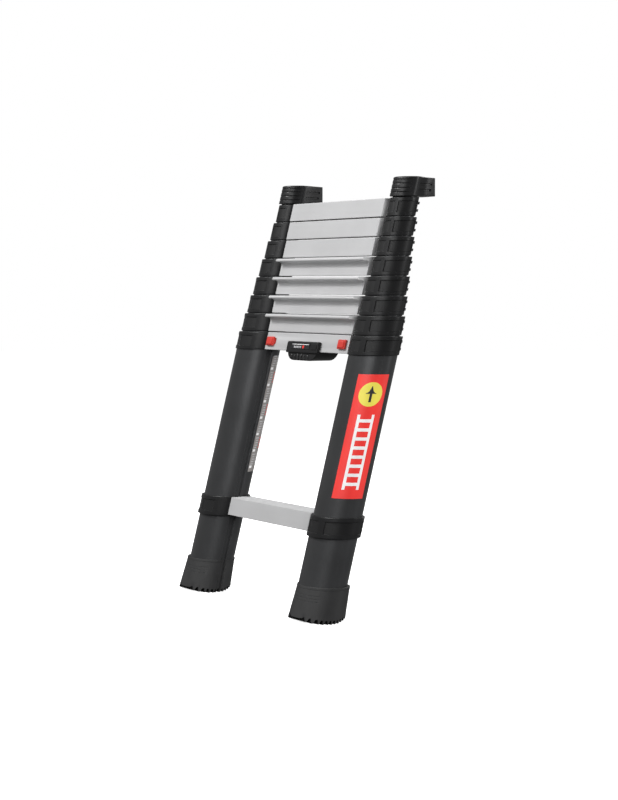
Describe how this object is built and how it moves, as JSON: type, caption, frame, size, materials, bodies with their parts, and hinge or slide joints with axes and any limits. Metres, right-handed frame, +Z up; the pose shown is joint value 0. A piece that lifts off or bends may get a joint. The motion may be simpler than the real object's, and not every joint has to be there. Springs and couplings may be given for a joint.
{
  "type": "telescopic extension ladder",
  "caption": "Telescopic extension ladder, closed and leaning back, with flat aluminium rungs, dark oval stiles, rubber feet, wall pads and red release buttons.",
  "frame": {"origin": "middle of the ladder's plan outline, on the floor under the soles", "axes": "+Z up and the closed ladder's longest extent, +X along the rungs, +Y back towards the wall that the ladder leans on; the ladder stands at its working angle, 14.25 degrees back"},
  "size_m": [0.512, 0.2534, 0.6964],
  "materials": {
    "tube": "dark satin anodised",
    "plastic": "fine-grained moulded",
    "rung": "satin anodised, natural",
    "rubber": "matte moulded",
    "red": "semi-gloss moulded",
    "steel": "bright",
    "badge": "gloss"
  },
  "bodies": {
    "section_1": {"carry_handle": "plastic", "handle_badge": "badge", "left_collar_1": "plastic", "left_collar_2": "plastic", "left_foot": "rubber", "left_lock_spring": "steel", "left_spring_stop": "plastic", "left_tube_1": "tube", "right_collar_1": "plastic", "right_collar_2": "plastic", "right_foot": "rubber", "right_lock_spring": "steel", "right_spring_stop": "plastic", "right_tube_1": "tube", "rung_1": "rung", "rung_2": "rung"},
    "section_2": {"left_collar_3": "plastic", "left_tube_2": "tube", "right_collar_3": "plastic", "right_tube_2": "tube", "rung_3": "rung"},
    "section_3": {"left_collar_4": "plastic", "left_tube_3": "tube", "right_collar_4": "plastic", "right_tube_3": "tube", "rung_4": "rung"},
    "section_4": {"left_collar_5": "plastic", "left_tube_4": "tube", "right_collar_5": "plastic", "right_tube_4": "tube", "rung_5": "rung"},
    "section_5": {"left_collar_6": "plastic", "left_tube_5": "tube", "right_collar_6": "plastic", "right_tube_5": "tube", "rung_6": "rung"},
    "section_6": {"left_collar_7": "plastic", "left_tube_6": "tube", "right_collar_7": "plastic", "right_tube_6": "tube", "rung_7": "rung"},
    "section_7": {"left_collar_8": "plastic", "left_tube_7": "tube", "right_collar_8": "plastic", "right_tube_7": "tube", "rung_8": "rung"},
    "section_8": {"left_collar_9": "plastic", "left_top_cap": "plastic", "left_tube_8": "tube", "right_collar_9": "plastic", "right_top_cap": "plastic", "right_tube_8": "tube", "rung_9": "rung"},
    "left_release": {"left_lock_pin": "steel", "left_release_button": "red"},
    "right_release": {"right_lock_pin": "steel", "right_release_button": "red"}
  },
  "joints": [
    {"name": "section_2_slide", "type": "slide", "parent": "section_1", "child": "section_2", "axis": [0, 0.2462, 0.9692], "range_m": [0, 0.2576]},
    {"name": "section_3_slide", "type": "slide", "parent": "section_2", "child": "section_3", "axis": [0, 0.2462, 0.9692], "range_m": [0, 0.2576]},
    {"name": "section_4_slide", "type": "slide", "parent": "section_3", "child": "section_4", "axis": [0, 0.2462, 0.9692], "range_m": [0, 0.2576]},
    {"name": "section_5_slide", "type": "slide", "parent": "section_4", "child": "section_5", "axis": [0, 0.2462, 0.9692], "range_m": [0, 0.2576]},
    {"name": "section_6_slide", "type": "slide", "parent": "section_5", "child": "section_6", "axis": [0, 0.2462, 0.9692], "range_m": [0, 0.2576]},
    {"name": "section_7_slide", "type": "slide", "parent": "section_6", "child": "section_7", "axis": [0, 0.2462, 0.9692], "range_m": [0, 0.2576]},
    {"name": "section_8_slide", "type": "slide", "parent": "section_7", "child": "section_8", "axis": [0, 0.2462, 0.9692], "range_m": [0, 0.2576]},
    {"name": "left_button_slide", "type": "slide", "parent": "section_1", "child": "left_release", "axis": [1, 0, 0], "range_m": [0, 0.008], "stiffness_N_per_m": 600, "springref_m": -0.006, "deforming": ["left_lock_spring"]},
    {"name": "right_button_slide", "type": "slide", "parent": "section_1", "child": "right_release", "axis": [-1, 0, 0], "range_m": [0, 0.008], "stiffness_N_per_m": 600, "springref_m": -0.006, "deforming": ["right_lock_spring"]}
  ]
}
